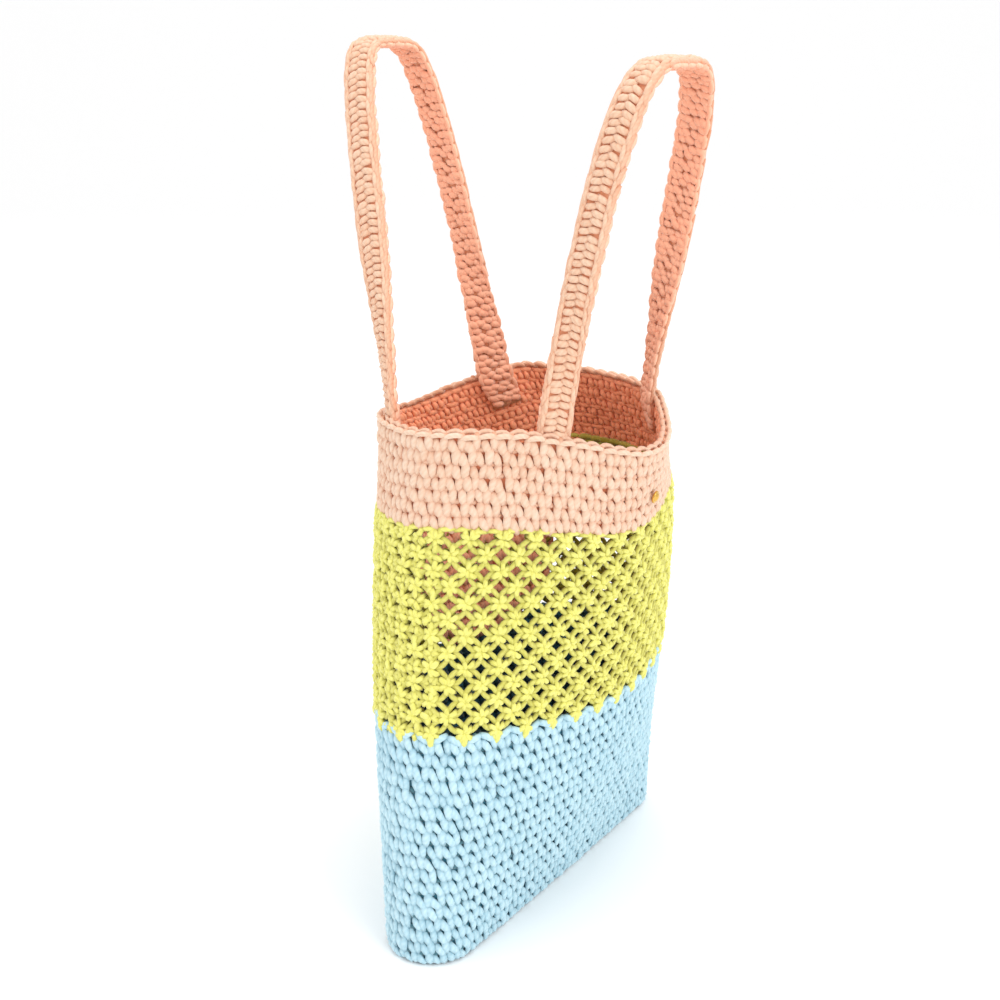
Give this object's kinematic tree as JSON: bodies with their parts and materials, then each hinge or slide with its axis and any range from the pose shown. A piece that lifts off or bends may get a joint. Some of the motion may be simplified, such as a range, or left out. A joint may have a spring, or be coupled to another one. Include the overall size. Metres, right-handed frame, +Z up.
{
  "type": "crochet tote bag",
  "caption": "Open crocheted tote bag with a flat base, a solid lower body, a knotted openwork band, a close top band and a pair of sewn shoulder straps.",
  "frame": {"origin": "on the surface the bag stands on, at the middle of its flat base", "axes": "+Z up to the straps, X along the base and the open mouth's long way, -Y towards the front face"},
  "size_m": [0.2668, 0.2207, 0.5269],
  "materials": {
    "blue_yarn": "soft matte cotton cord, single crochet",
    "lime_yarn": "soft matte cotton cord, knotted openwork",
    "peach_yarn": "soft matte cotton cord, single crochet",
    "strap_yarn": "soft matte cotton cord, narrow crocheted strip",
    "gold_metal": "polished gold-tone metal"
  },
  "bodies": {
    "root": {"blue_lower_body": "blue_yarn", "lime_openwork_band": "lime_yarn", "peach_top_band": "peach_yarn", "inner_pocket": "peach_yarn", "strap_left": "strap_yarn", "strap_right": "strap_yarn", "stud": "gold_metal"}
  },
  "joints": []
}
